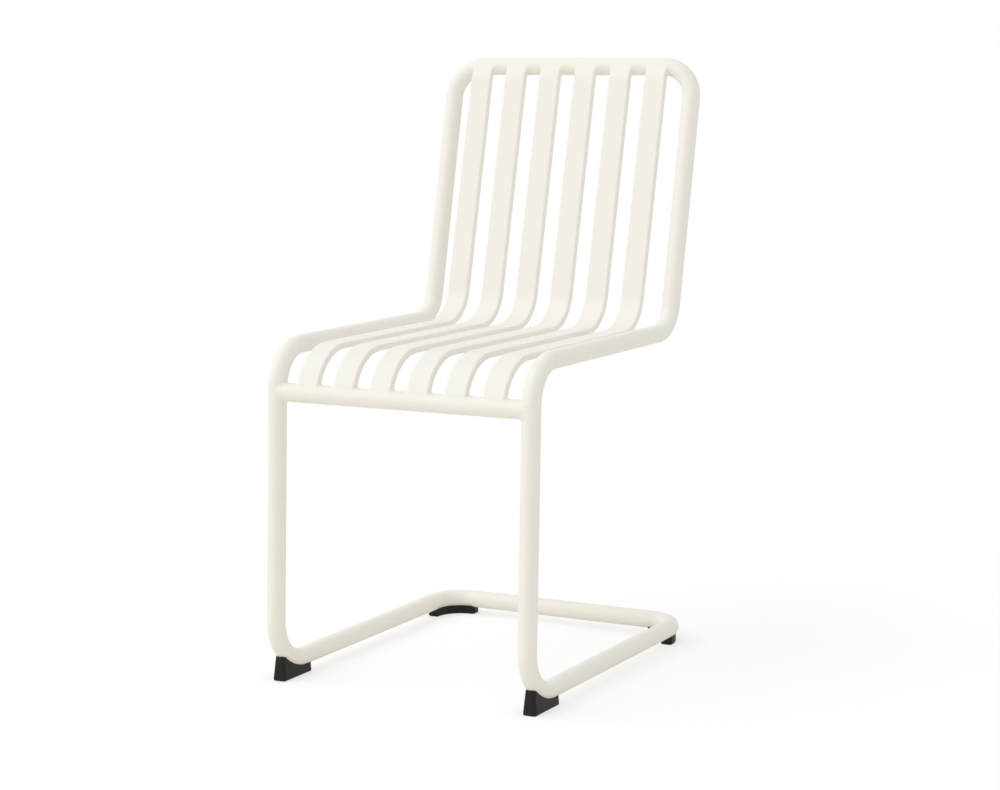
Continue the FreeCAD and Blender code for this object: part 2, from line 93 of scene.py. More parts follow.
seat_along = (hip - knee).normalized()
seat_up = Vector((0, -seat_along.z, seat_along.y))
back_along = (crown - hip).normalized()
back_forward = Vector((0, -back_along.z, back_along.y))
rail = (rail_low + rail_high) / 2
print("foot, knee, hip, crown:", [tuple(round(c, 4) for c in p) for p in (foot, knee, hip, crown)])

# %% [markdown]
# Paint and plastic are both a little uneven: the skin has a fine ripple, a finer grain, and a tone
# that drifts over a hand's width. One node group makes the three, and each material uses it with
# its own scales.

# %% Shared unevenness
# A Mix node has sockets of its own for each kind of data, and only their numbers tell them apart.
MIX_FACTOR = 0
MIX_NUMBERS = (2, 3)
MIX_NUMBER_RESULT = 0
MIX_COLOURS = (6, 7)
MIX_COLOUR_RESULT = 2


def unevenness_group():
    """The shader group: a height for the bump, and the ripple and the drift by themselves."""
    group = bpy.data.node_groups.new("surface_unevenness", "ShaderNodeTree")
    for label in ("Ripple scale", "Grain scale", "Grain share", "Drift scale"):
        group.interface.new_socket(label, in_out="INPUT", socket_type="NodeSocketFloat")
    for label in ("Height", "Ripple", "Drift"):
        group.interface.new_socket(label, in_out="OUTPUT", socket_type="NodeSocketFloat")
    given = group.nodes.new("NodeGroupInput")
    result = group.nodes.new("NodeGroupOutput")
    place = group.nodes.new("ShaderNodeTexCoord")

    def noise(scale_name, detail):
        texture = group.nodes.new("ShaderNodeTexNoise")
        texture.inputs["Detail"].default_value = detail
        group.links.new(place.outputs["Object"], texture.inputs["Vector"])
        group.links.new(given.outputs[scale_name], texture.inputs["Scale"])
        return texture.outputs["Fac"]

    ripple = noise("Ripple scale", detail=1.0)
    grain = noise("Grain scale", detail=2.0)
    drift = noise("Drift scale", detail=3.0)
    height = group.nodes.new("ShaderNodeMix")
    height.data_type = "FLOAT"
    group.links.new(given.outputs["Grain share"], height.inputs[MIX_FACTOR])
    group.links.new(ripple, height.inputs[MIX_NUMBERS[0]])
    group.links.new(grain, height.inputs[MIX_NUMBERS[1]])
    group.links.new(height.outputs[MIX_NUMBER_RESULT], result.inputs["Height"])
    group.links.new(ripple, result.inputs["Ripple"])
    group.links.new(drift, result.inputs["Drift"])
    return group


UNEVENNESS = unevenness_group()
print("shader group:", UNEVENNESS.name)


# %% [markdown]
# A finish is two close tones that the drift mixes, a roughness that the ripple varies, and a bump
# from the height. Whatever is the same all over the surface is set on the shader itself.

# %% Build a finish
def linear(red, green, blue):
    """A colour written as screen values from 0 to 255, as the linear values that shaders take."""
    def channel(value):
        share = value / 255
        return share / 12.92 if share <= 0.04045 else ((share + 0.055) / 1.055) ** 2.4
    return (channel(red), channel(green), channel(blue), 1.0)


def finish(name, light, dark, rough, scales, bump_strength, bump_height, metallic=0.0, gloss_level=0.5):
    """A material with two tones, a roughness range and a bump from the shared unevenness."""
    material = bpy.data.materials.new(name)
    material.use_nodes = True
    tree = material.node_tree
    shader = tree.nodes["Principled BSDF"]
    shader.inputs["Metallic"].default_value = metallic
    shader.inputs["Specular IOR Level"].default_value = gloss_level
    uneven = tree.nodes.new("ShaderNodeGroup")
    uneven.node_tree = UNEVENNESS
    for label, value in scales.items():
        uneven.inputs[label].default_value = value
    tone = tree.nodes.new("ShaderNodeMix")
    tone.data_type = "RGBA"
    tone.inputs[MIX_COLOURS[0]].default_value = light
    tone.inputs[MIX_COLOURS[1]].default_value = dark
    tree.links.new(uneven.outputs["Drift"], tone.inputs[MIX_FACTOR])
    tree.links.new(tone.outputs[MIX_COLOUR_RESULT], shader.inputs["Base Color"])
    gloss = tree.nodes.new("ShaderNodeMapRange")
    gloss.inputs["To Min"].default_value = rough[0]
    gloss.inputs["To Max"].default_value = rough[1]
    tree.links.new(uneven.outputs["Ripple"], gloss.inputs["Value"])
    tree.links.new(gloss.outputs["Result"], shader.inputs["Roughness"])
    bump = tree.nodes.new("ShaderNodeBump")
    bump.inputs["Strength"].default_value = bump_strength
    bump.inputs["Distance"].default_value = bump_height
    tree.links.new(uneven.outputs["Height"], bump.inputs["Height"])
    tree.links.new(bump.outputs["Normal"], shader.inputs["Normal"])
    return material


cream_paint = finish(
    "cream_powder_coat", light=linear(244, 241, 234), dark=linear(242, 239, 231), rough=(0.44, 0.56),
    scales={"Ripple scale": 650.0, "Grain scale": 3200.0, "Grain share": 0.35, "Drift scale": 7.0},
    bump_strength=0.15, bump_height=0.0001)
black_plastic = finish(
    "black_moulded_plastic", light=linear(22, 22, 21), dark=linear(17, 17, 16), rough=(0.42, 0.56),
    scales={"Ripple scale": 900.0, "Grain scale": 2600.0, "Grain share": 0.75, "Drift scale": 30.0},
    bump_strength=0.2, bump_height=0.0001, gloss_level=0.25)
drawn_steel = finish(
    "drawn_steel", light=linear(150, 150, 152), dark=linear(128, 128, 131), rough=(0.30, 0.48),
    scales={"Ripple scale": 300.0, "Grain scale": 2200.0, "Grain share": 0.5, "Drift scale": 40.0},
    bump_strength=0.2, bump_height=0.0001, metallic=1.0)
print("finishes:", cream_paint.name, black_plastic.name, drawn_steel.name)


# %% [markdown]
# Tubes and slats follow a path, so a geometry tree makes them: a few corner points become a curve,
# the corners are rounded, and a section is carried along. These helpers start a tree and put nodes
# into it, already wired.

# %% Start a tree and add nodes
def geometry_tree(name, inputs):
    """A tree with a Geometry input and output, and the named inputs between them."""
    tree = bpy.data.node_groups.new(name, "GeometryNodeTree")
    tree.interface.new_socket("Geometry", in_out="INPUT", socket_type="NodeSocketGeometry")
    for label, kind in inputs:
        tree.interface.new_socket(label, in_out="INPUT", socket_type=kind)
    tree.interface.new_socket("Geometry", in_out="OUTPUT", socket_type="NodeSocketGeometry")
    return tree, tree.nodes.new("NodeGroupInput").outputs


def add_node(tree, kind, wires, **settings):
    """A node with its settings, its inputs wired to other nodes or set to plain values."""
    node = tree.nodes.new(kind)
    for key, value in settings.items():
        setattr(node, key, value)
    for label, source in wires.items():
        if isinstance(source, bpy.types.NodeSocket):
            tree.links.new(source, node.inputs[label])
        else:
            node.inputs[label].default_value = source
    return node.outputs


# %% [markdown]
# All trees end alike, in real geometry with its paint on it. Where a piece has true edges, they stay
# crisp, while faces that turn only a little are shaded as one surface.

# %% End a tree
def shade_crisp(tree, geometry, crisp_angle):
    """Smooth shading, except at edges that turn more sharply than the angle."""
    smooth = add_node(tree, "GeometryNodeSetShadeSmooth", {"Geometry": geometry})["Geometry"]
    angle = add_node(tree, "GeometryNodeInputMeshEdgeAngle", {})["Unsigned Angle"]
    sharp = add_node(tree, "FunctionNodeCompare", {0: angle, 1: crisp_angle},
                     data_type="FLOAT", operation="GREATER_THAN")["Result"]
    return add_node(tree, "GeometryNodeSetShadeSmooth", {
        "Geometry": smooth, "Selection": sharp, "Shade Smooth": False}, domain="EDGE")["Geometry"]


def close_tree(tree, geometry, material):
    """The end that every tree has: real geometry, its material, and the output."""
    real = add_node(tree, "GeometryNodeRealizeInstances", {"Geometry": geometry})
    painted = add_node(tree, "GeometryNodeSetMaterial",
                       {"Geometry": real["Geometry"], "Material": material})
    result = tree.nodes.new("NodeGroupOutput")
    tree.links.new(painted["Geometry"], result.inputs["Geometry"])


# %% [markdown]
# A tree works on an object. Here that is a mesh of bare edges, because its points can hold more than
# their places, such as the radius of a bend. The tree runs once, and its result is kept as a plain
# mesh, which then rides on the chair and stands for its CAD nodes, if it has any.

# %% Paths and finished pieces
def path_object(name, lines, closed=False, **fields):
    """Lines of points as one mesh of edges. A field holds one number or vector for every point."""
    points, edges = [], []
    for line in lines:
        first = len(points)
        points += [tuple(point) for point in line]
        edges += [(number, number + 1) for number in range(first, len(points) - 1)]
        if closed:
            edges.append((len(points) - 1, first))
    mesh = bpy.data.meshes.new(name)
    mesh.from_pydata(points, edges, [])
    for label, values in fields.items():
        if isinstance(values[0], Vector):
            flat = [part for value in values for part in value]
            mesh.attributes.new(label, "FLOAT_VECTOR", "POINT").data.foreach_set("vector", flat)
        else:
            mesh.attributes.new(label, "FLOAT", "POINT").data.foreach_set("value", values)
    piece = bpy.data.objects.new(name, mesh)
    scene.collection.objects.link(piece)
    return piece


def run_tree(piece, tree, values):
    """The tree's result on the piece, kept as a plain mesh."""
    modifier = piece.modifiers.new(tree.name, "NODES")
    modifier.node_group = tree
    for socket in tree.interface.items_tree:
        if socket.in_out == "INPUT" and socket.name in values:
            modifier[socket.identifier] = values[socket.name]
    depsgraph = bpy.context.evaluated_depsgraph_get()
    mesh = bpy.data.meshes.new_from_object(piece.evaluated_get(depsgraph))
    piece.modifiers.clear()
    piece.data = mesh
    mesh.name = piece.name
    print(f"{piece.name}: {len(mesh.vertices)} points, {len(mesh.polygons)} faces")
    return piece


def settle(piece, slot_name, *nodes):
    """The finished piece rides on the chair and stands for its CAD nodes."""
    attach(piece, "root")
    if nodes:
        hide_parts(*nodes)


# %% [markdown]
# The frame is round tube. A circle carried along the rounded path gives the tube with far finer
# rings in the bends than a CAD mesh has. Two hoops make the frame: one for legs, seat sides and
# back, one for the runners. The bends at foot and knee are wider than those of the back and base.

# %% Bent tube tree
def bent_tube_tree():
    """A round tube along a path whose points hold the radius of their bend."""
    tree, given = geometry_tree("bent_tube", [
        ("Tube radius", "NodeSocketFloat"), ("Sides", "NodeSocketInt"),
        ("Steps in a bend", "NodeSocketInt"), ("Paint", "NodeSocketMaterial")])
    curve = add_node(tree, "GeometryNodeMeshToCurve", {"Mesh": given["Geometry"]})["Curve"]
    bend = add_node(tree, "GeometryNodeInputNamedAttribute", {"Name": "bend"},
                    data_type="FLOAT")["Attribute"]
    rounded = add_node(tree, "GeometryNodeFilletCurve", {
        "Curve": curve, "Count": given["Steps in a bend"], "Radius": bend}, mode="POLY")["Curve"]
    section = add_node(tree, "GeometryNodeCurvePrimitiveCircle", {
        "Resolution": given["Sides"], "Radius": given["Tube radius"]})["Curve"]
    tube = add_node(tree, "GeometryNodeCurveToMesh", {
        "Curve": rounded, "Profile Curve": section, "Fill Caps": True})["Mesh"]
    smooth = add_node(tree, "GeometryNodeSetShadeSmooth", {"Geometry": tube})["Geometry"]
    close_tree(tree, smooth, given["Paint"])
    return tree


BENT_TUBE = bent_tube_tree()
print("tree:", BENT_TUBE.name)

# %% [markdown]
# A hoop is the same on both sides of the chair, so only one side's corners are listed, from the butt
# joint in the runner to the corner where the tube turns across.

# %% Hoops
BEND_STEPS = 28
TUBE_LOOKS = {"Sides": 64, "Steps in a bend": BEND_STEPS, "Paint": cream_paint}
left = Vector((-half_span, 0, 0))
right = Vector((half_span, 0, 0))
joint = Vector((0, joint_y, runner_z))
rear_corner = Vector((0, rear_bar_y, runner_z))


def hoop(name, side_line, side_bends):
    """A tube along one side of the chair, across, and back along the other side."""
    points = [point + left for point in side_line] + [point + right for point in reversed(side_line)]
    path = path_object(name, [points], bend=side_bends + side_bends[::-1])
    return run_tree(path, BENT_TUBE, {"Tube radius": tube_radius, **TUBE_LOOKS})


upper_tube = hoop("upper_hoop", [joint, foot, knee, hip, crown],
                  [0.0, FOOT_BEND, KNEE_BEND, BACK_BEND, BACK_BEND])
settle(upper_tube, "powder_coat", "upper_tube")
base_tube = hoop("base_hoop", [joint, rear_corner], [0.0, BASE_BEND])
settle(base_tube, "powder_coat", "base_tube")

# %% [markdown]
# The front rail is the same tube, straight. Its coped ends sit inside the legs' outline, where the
# weld hides them, so here it simply ends inside the legs.

# %% Front rail
RAIL_END_IN_LEG = 0.004
rail_reach = Vector((half_span - RAIL_END_IN_LEG, 0, 0))
rail_path = path_object("front_cross_rail", [[rail - rail_reach, rail + rail_reach]], bend=[0.0, 0.0])
front_rail = run_tree(rail_path, BENT_TUBE, {"Tube radius": tube_radius, **TUBE_LOOKS})
settle(front_rail, "powder_coat", "front_rail")

# %% [markdown]
# A slat is sheet steel folded to a shallow channel, open underneath, and bent three times: over the
# front edge, up into the back, and back to the top rail. The section below is drawn with its face
# on the X axis and its flanges towards +Y. Two extra points beside each fold keep the wide face
# looking flat.

# %% Slat section
SLAT_SHEET = 0.0015
SLAT_FOLD_RADIUS = 0.0025
SLAT_DEPTH = 0.008
FOLD_STEPS = 8
FACE_GUARD = 0.0006

SLAT_COUNT = 6
slat_nodes = [f"slat_{number + 1}" for number in range(SLAT_COUNT)]
slat_boxes = [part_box(node) for node in slat_nodes]
slat_width = slat_boxes[0][1].x - slat_boxes[0][0].x
slat_centres = [(low.x + high.x) / 2 for low, high in slat_boxes]


def channel_side(half_width, fold, depth, offset=0.0):
    """One side of the channel from the left lip to the right lip, as (across, depth) points."""
    half_flat = half_width - fold
    half_side = [(half_flat - FACE_GUARD, offset)]
    for step in range(FOLD_STEPS + 1):
        angle = step / FOLD_STEPS * math.pi / 2
        half_side.append((half_flat + (fold - offset) * math.sin(angle),
                          fold - (fold - offset) * math.cos(angle)))
    half_side += [(half_width - offset, fold + FACE_GUARD), (half_width - offset, depth)]
    return [(-across, deep) for across, deep in reversed(half_side)] + half_side


outer_side = channel_side(slat_width / 2, SLAT_FOLD_RADIUS, SLAT_DEPTH)
inner_side = channel_side(slat_width / 2, SLAT_FOLD_RADIUS, SLAT_DEPTH, SLAT_SHEET)
section_points = [Vector((across, deep, 0)) for across, deep in outer_side + inner_side[::-1]]
slat_section = path_object("slat_section", [section_points], closed=True)
print("slat section points:", len(section_points))

# %% [markdown]
# The path is the line of the slat's face in the side view. It leaves the front rail leaning back, the
# seat run is sunk between the seat tubes, the back run stands proud of the back tubes and leans a
# little more than they do, and the last bend brings the face into the top rail.

# %% Slat path
SLAT_FRONT_LEAN = math.radians(25)
SLAT_FRONT_BITE = 0.0005
SLAT_SEAT_SINK = 0.0076
SLAT_EXTRA_LEAN = math.radians(0.9)
SLAT_BACK_PROUD = 0.0061
SLAT_TOP_BITE = 0.0011
SLAT_TAIL = 0.0015
SLAT_FRONT_BEND = 0.072
SLAT_REAR_BEND = 0.055
SLAT_TOP_BEND = 0.045


def run_at(lean):
    """The way along a run of the slat that leans back by an angle, and the way out of its face."""
    along = Vector((0, math.sin(lean), math.cos(lean)))
    return along, Vector((0, -along.z, along.y))


def meet(point, along, other_point, other_along):
    """Where two lines of the side view cross."""
    gap = other_point - point
    cross = along.y * other_along.z - along.z * other_along.y
    return point + along * ((gap.y * other_along.z - gap.z * other_along.y) / cross)


front_along, front_outward = run_at(SLAT_FRONT_LEAN)
slat_along, slat_outward = run_at(BACK_RECLINE + SLAT_EXTRA_LEAN)
face_out = tube_radius + SLAT_BACK_PROUD
face_front = rail + front_outward * (tube_radius - SLAT_FRONT_BITE)
face_seat = knee + seat_up * (tube_radius - SLAT_SEAT_SINK)
face_back = crown + slat_outward * face_out
top_turn = math.acos(1 - (face_out - tube_radius + SLAT_TOP_BITE) / SLAT_TOP_BEND)
top_reach = SLAT_TOP_BEND * math.tan(top_turn / 2)
top_start = face_back - slat_along * (SLAT_TOP_BEND * math.sin(top_turn))
tail_along = slat_along * math.cos(top_turn) - slat_outward * math.sin(top_turn)
top_corner = top_start + slat_along * top_reach
slat_path = path_object("seat_and_back_slats", [[
    face_front,
    meet(face_front, front_along, face_seat, seat_along),
    meet(face_seat, seat_along, face_back, slat_along),
    top_corner,
    top_corner + tail_along * (top_reach + SLAT_TAIL),
]], bend=[0.0, SLAT_FRONT_BEND, SLAT_REAR_BEND, SLAT_TOP_BEND, 0.0])
print("turn of the slat's top end, degrees:", round(math.degrees(top_turn), 1))


# %% [markdown]
# One slat is a section carried along the path, and six of them stand side by side at an even pitch.
# The tree makes one and sets it on a row of points. The curve's normal is fixed across the chair,
# so that the channel never twists. Edges that turn sharply, such as the lips, stay crisp.

# %% Slats
def slat_row_tree():
    """A row of equal slats, each a drawn section along the path."""
    tree, given = geometry_tree("slat_row", [
        ("Section", "NodeSocketObject"), ("Count", "NodeSocketInt"), ("Pitch", "NodeSocketVector"),
        ("First", "NodeSocketVector"), ("Steps in a bend", "NodeSocketInt"),
        ("Crisp angle", "NodeSocketFloat"), ("Paint", "NodeSocketMaterial")])
    curve = add_node(tree, "GeometryNodeMeshToCurve", {"Mesh": given["Geometry"]})["Curve"]
    bend = add_node(tree, "GeometryNodeInputNamedAttribute", {"Name": "bend"},
                    data_type="FLOAT")["Attribute"]
    rounded = add_node(tree, "GeometryNodeFilletCurve", {
        "Curve": curve, "Count": given["Steps in a bend"], "Radius": bend}, mode="POLY")["Curve"]
    steady = add_node(tree, "GeometryNodeSetCurveNormal", {
        "Curve": rounded, "Normal": (1.0, 0.0, 0.0)}, mode="FREE")["Curve"]
    drawn = add_node(tree, "GeometryNodeObjectInfo", {"Object": given["Section"]})["Geometry"]
    section = add_node(tree, "GeometryNodeMeshToCurve", {"Mesh": drawn})["Curve"]
    slat = add_node(tree, "GeometryNodeCurveToMesh", {
        "Curve": steady, "Profile Curve": section, "Fill Caps": True})["Mesh"]
    crisp = shade_crisp(tree, slat, given["Crisp angle"])
    row = add_node(tree, "GeometryNodeMeshLine", {
        "Count": given["Count"], "Start Location": given["First"], "Offset": given["Pitch"]},
        mode="OFFSET")["Mesh"]
    row_of_slats = add_node(tree, "GeometryNodeInstanceOnPoints", {
        "Points": row, "Instance": crisp})["Instances"]
    close_tree(tree, row_of_slats, given["Paint"])
    return tree


CRISP_ANGLE = math.radians(40)
slat_pitch = slat_centres[1] - slat_centres[0]
slats = run_tree(slat_path, slat_row_tree(), {
    "Section": slat_section, "Count": SLAT_COUNT, "Pitch": (slat_pitch, 0.0, 0.0),
    "First": (slat_centres[0], 0.0, 0.0), "Steps in a bend": BEND_STEPS,
    "Crisp angle": CRISP_ANGLE, "Paint": cream_paint})
bpy.data.objects.remove(slat_section)
settle(slats, "powder_coat", *slat_nodes)

# %% [markdown]
# Under the rear of the seat a flat bar carries the slats. It is a plain bar with slightly rounded
# edges, laid along the seat's fall and let into the seat tubes at both ends.

# %% Seat cross bar
BAR_SETBACK = 0.085
BAR_WIDTH = 0.030
BAR_THICKNESS = 0.005
BAR_EDGE = 0.0008
BAR_EDGE_STEPS = 3
BAR_UNDER_SLATS = 0.0002
bar_top = tube_radius - SLAT_SEAT_SINK - SLAT_DEPTH - BAR_UNDER_SLATS
bar_middle = hip - seat_along * BAR_SETBACK + seat_up * (bar_top - BAR_THICKNESS / 2)
bar_half_length = half_span - math.sqrt(tube_radius ** 2 - bar_top ** 2)
# Each end runs on into its seat tube by half the tube's radius.
bar_length = 2 * bar_half_length + tube_radius


def new_piece(name, mesh_tool, material):
    """A piece with the faces that a mesh tool holds, in one material."""
    mesh = bpy.data.meshes.new(name)
    mesh_tool.to_mesh(mesh)
    mesh_tool.free()
    mesh.materials.append(material)
    piece = bpy.data.objects.new(name, mesh)
    scene.collection.objects.link(piece)
    return piece


bar_tool = bmesh.new()
bar_size = Matrix.Diagonal((bar_length, BAR_WIDTH, BAR_THICKNESS, 1.0))
bar_turn = Matrix.Rotation(-SEAT_FALL, 4, "X")
bmesh.ops.create_cube(bar_tool, size=1.0, matrix=Matrix.Translation(bar_middle) @ bar_turn @ bar_size)
bmesh.ops.bevel(bar_tool, geom=list(bar_tool.edges), offset=BAR_EDGE, segments=BAR_EDGE_STEPS,
                affect="EDGES")
cross_bar = new_piece("seat_cross_strip", bar_tool, cream_paint)
settle(cross_bar, "powder_coat", "seat_cross_bar")
print("cross bar faces:", len(cross_bar.data.polygons))

# %% [markdown]
# Where a slat runs into a tube it is welded, dressed smooth and painted over, so that one surface
# flows into the other. A fillet covers each joint. To place it on a tube, the tube's centreline has
# to be known near any point.

# %% Centrelines of rail and hoop
def rail_centre(point):
    """The nearest point of the front rail's centreline."""
    return Vector((point.x, rail.y, rail.z))


def hoop_centre(point):
    """The nearest point of the back hoop's centreline, along the top rail and its two bends."""
    straight = half_span - BACK_BEND
    if abs(point.x) <= straight:
        return crown + Vector((point.x, 0, 0))
    bend_middle = crown + Vector((math.copysign(straight, point.x), 0, 0)) - back_along * BACK_BEND
    spoke = point - bend_middle
    spoke -= back_forward * spoke.dot(back_forward)
    return bend_middle + spoke.normalized() * BACK_BEND


# %% [markdown]
# The joint line is where the slat's outer skin runs into the tube. At the front the slat is straight,
# so a formula gives it. At the top the slat is bent and the hoop may bend too, so the place is found
# by halving: a turn of the slat's bend that is still outside the tube against one that is inside it.
# A turn below zero is a place on the straight run before the bend.

# %% Joint lines of slats and tubes
FRONT_FILLET = 0.005
TOP_FILLET = 0.006
EARLIEST_TURN = -1.0
HALVINGS = 40


def front_joint(across, deep):
    """A point where the slat leaves the front rail, the fillet's edge above it, and the way down."""
    out = tube_radius - SLAT_FRONT_BITE - deep
    climb = math.sqrt(tube_radius ** 2 - out ** 2)
    place = rail + Vector((across, 0, 0)) + front_outward * out + front_along * climb
    return place, place + front_along * FRONT_FILLET, -front_along


def top_skin(across, deep, turn):
    """A point of the slat's skin in its last bend, and the way on towards the slat's end."""
    radius = SLAT_TOP_BEND - deep
    bent_by = max(turn, 0.0)
    onward = slat_along * math.cos(bent_by) - slat_outward * math.sin(bent_by)
    outward = slat_outward * math.cos(bent_by) + slat_along * math.sin(bent_by)
    middle = top_start - slat_outward * SLAT_TOP_BEND + Vector((across, 0, 0))
    return middle + outward * radius + slat_along * (radius * min(turn, 0.0)), onward


def top_joint(across, deep):
    """A point where the slat runs into the top rail, the fillet's edge before it, and the way on."""
    low, high = EARLIEST_TURN, top_turn
    for _ in range(HALVINGS):
        turn = (low + high) / 2
        place = top_skin(across, deep, turn)[0]
        if (place - hoop_centre(place)).length > tube_radius:
            low = turn
        else:
            high = turn
    return (place, *top_skin(across, deep, turn - TOP_FILLET / (SLAT_TOP_BEND - deep)))


# %% [markdown]
# One edge of a fillet lies on the slat and one on the tube, a little way from the joint line. Its
# corner is where the tangents at both edges cross, and its root lies inside the metal.

# %% Fillets along the slats' joint lines
ROOT_DEPTH = 0.0015
JOINT_STEP = 0.002


def fillet_line(joints, centre_of, reach):
    """The fillet along a joint line: its corner, the sides on slat and tube, and its root."""
    line = []
    for number, (place, slat_edge, onward) in enumerate(joints):
        before = joints[max(number - 1, 0)][0]
        after = joints[min(number + 1, len(joints) - 1)][0]
        away = (after - before).cross(place - centre_of(place)).normalized()
        # Where the slat grazes the tube, this edge stays closer, so that no tab stands out.
        over_tube = place + away * min(reach, tube_radius * onward.angle(away) / 2)
        outward = (over_tube - centre_of(over_tube)).normalized()
        tube_edge = centre_of(over_tube) + outward * tube_radius
        back = outward * away.dot(outward) - away
        corner = sum(intersect_line_line(slat_edge, slat_edge + onward, tube_edge, tube_edge + back),
                     Vector()) / 2
        root = (centre_of(corner) - corner).normalized() * ROOT_DEPTH
        line.append((corner, slat_edge - corner, tube_edge - corner, root))
    return line


def finer(outline, step):
    """The outline with more points on its long runs."""
    points = outline[:1]
    for (across, deep), (next_across, next_deep) in zip(outline, outline[1:]):
        count = math.ceil(math.hypot(next_across - across, next_deep - deep) / step)
        points += [(across + (next_across - across) * part / count,
                    deep + (next_deep - deep) * part / count) for part in range(1, count + 1)]
    return points


slat_fillets = []
joint_outline = finer(outer_side, JOINT_STEP)
for centre in slat_centres:
    front = [front_joint(centre + across, deep) for across, deep in joint_outline]
    top = [top_joint(centre + across, deep) for across, deep in reversed(joint_outline)]
    slat_fillets += [fillet_line(front, rail_centre, FRONT_FILLET),
                     fillet_line(top, hoop_centre, TOP_FILLET)]
print("fillets on slats:", len(slat_fillets))


# %% [markdown]
# The front rail meets each leg in a saddle. Rail and leg are the same tube and stand square to each
# other, so at every point of the saddle one side of the fillet runs straight along the rail, the
# other straight along the leg. Just above the rail the leg already starts its bend to the seat.

# %% Joints of rail and legs
LEG_FILLET = 0.0045
SADDLE_POINTS = 96
leg_along = (knee - foot).normalized()
leg_back = Vector((0, leg_along.z, -leg_along.y))
knee_reach = KNEE_BEND * math.tan((math.pi / 2 - LEG_LEAN + SEAT_FALL) / 2)
bend_above_rail = (knee - rail).length - knee_reach


def on_leg(out, back, up):
    """A point beside the rail's end, moved with the leg where it bends to the seat."""
    into_bend = max(up - bend_above_rail, 0.0)
    bent_back = KNEE_BEND - math.sqrt(KNEE_BEND ** 2 - into_bend ** 2)
    return rail + Vector((out, 0, 0)) + leg_back * (back + bent_back) + leg_along * up


def leg_fillet(side):
    """The fillet round one end of the front rail."""
    line = []
    for number in range(SADDLE_POINTS):
        # The half step keeps every point clearly above or below the middle of the rail.
        angle = -side * 2 * math.pi * (number + 0.5) / SADDLE_POINTS
        back, up = tube_radius * math.cos(angle), tube_radius * math.sin(angle)
        out = side * (half_span - abs(up))
        corner = on_leg(out, back, up)
        leg_edge = on_leg(out, back, up + math.copysign(LEG_FILLET, up))
        root = (rail_centre(corner) - corner).normalized() * ROOT_DEPTH
        line.append((corner, Vector((-side * LEG_FILLET, 0, 0)), leg_edge - corner, root))
    return line


leg_fillets = [leg_fillet(-1), leg_fillet(1)]
print("fillets on legs:", len(leg_fillets))


# %% [markdown]
# One tree makes every fillet. Its section is drawn in shares: how much of each side is added to the
# corner. Along the skin the shares run from all of the first side to all of the second side, in a
# hollow curve, and one more point, the root, closes the section inside the metal.

# %% Fillets
FILLET_STEPS = 12
FILLET_SIDES = ("slat_side", "tube_side", "root")


def fillet_tree():
    """A strip along the corner points, its skin put together from the shares of their sides."""
    tree, given = geometry_tree("weld_fillet", [
        ("Section", "NodeSocketObject"), ("Crisp angle", "NodeSocketFloat"),
        ("Paint", "NodeSocketMaterial")])

    def field(name, data_type):
        return add_node(tree, "GeometryNodeInputNamedAttribute", {"Name": name},
                        data_type=data_type)["Attribute"]

    curve = add_node(tree, "GeometryNodeMeshToCurve", {"Mesh": given["Geometry"]})["Curve"]
    place = add_node(tree, "GeometryNodeInputPosition", {})["Position"]
    marked = add_node(tree, "GeometryNodeStoreNamedAttribute", {
        "Geometry": curve, "Name": "corner", "Value": place}, data_type="FLOAT_VECTOR")["Geometry"]
    drawn = add_node(tree, "GeometryNodeObjectInfo", {"Object": given["Section"]})["Geometry"]
    section = add_node(tree, "GeometryNodeMeshToCurve", {"Mesh": drawn})["Curve"]
    strip = add_node(tree, "GeometryNodeCurveToMesh", {
        "Curve": marked, "Profile Curve": section, "Fill Caps": True})["Mesh"]
    skin = field("corner", "FLOAT_VECTOR")
    for side in FILLET_SIDES:
        skin = add_node(tree, "ShaderNodeVectorMath", {
            0: field(side, "FLOAT_VECTOR"), 1: field(f"{side}_share", "FLOAT"), 2: skin},
            operation="MULTIPLY_ADD")["Vector"]
    shaped = add_node(tree, "GeometryNodeSetPosition", {"Geometry": strip, "Position": skin})["Geometry"]
    close_tree(tree, shade_crisp(tree, shaped, given["Crisp angle"]), given["Paint"])
    return tree


steps = [(1 - math.cos(math.pi * step / FILLET_STEPS)) / 2 for step in range(FILLET_STEPS + 1)]
shares = [((1 - step) ** 2, step ** 2, 0.0) for step in steps] + [(0.0, 0.0, 1.0)]
fillet_section = path_object("fillet_section", [shares], closed=True, **{
    f"{side}_share": [share[number] for share in shares] for number, side in enumerate(FILLET_SIDES)})
FILLET = fillet_tree()
for name, lines, closed in (("slat_welds", slat_fillets, False), ("rail_welds", leg_fillets, True)):
    host = path_object(name, [[corner for corner, *_ in line] for line in lines], closed, **{
        side: [sides[number] for line in lines for _, *sides in line]
        for number, side in enumerate(FILLET_SIDES)})
    run_tree(host, FILLET, {"Section": fillet_section, "Crisp angle": CRISP_ANGLE, "Paint": cream_paint})
    settle(host, "powder_coat")
bpy.data.objects.remove(fillet_section)


# %% [markdown]
# Under the seat nobody dresses the welds. There the bead stays round, with a ripple from the welder's
# steps. Its lines run round both ends of the cross bar and along the slats' edges on it.

# %% Joint lines under the seat
def bar_joint(side):
    """The line round one end of the cross bar where it meets the seat tube."""
    line = []
    for along, down in ((-1, 0), (1, 0), (1, 1), (-1, 1)):
        height = bar_top - down * BAR_THICKNESS
        reach = half_span - math.sqrt(tube_radius ** 2 - height ** 2)
        line.append(Vector((side * reach, 0, 0)) + hip + seat_up * height
                    + seat_along * (along * BAR_WIDTH / 2 - BAR_SETBACK))
    return line


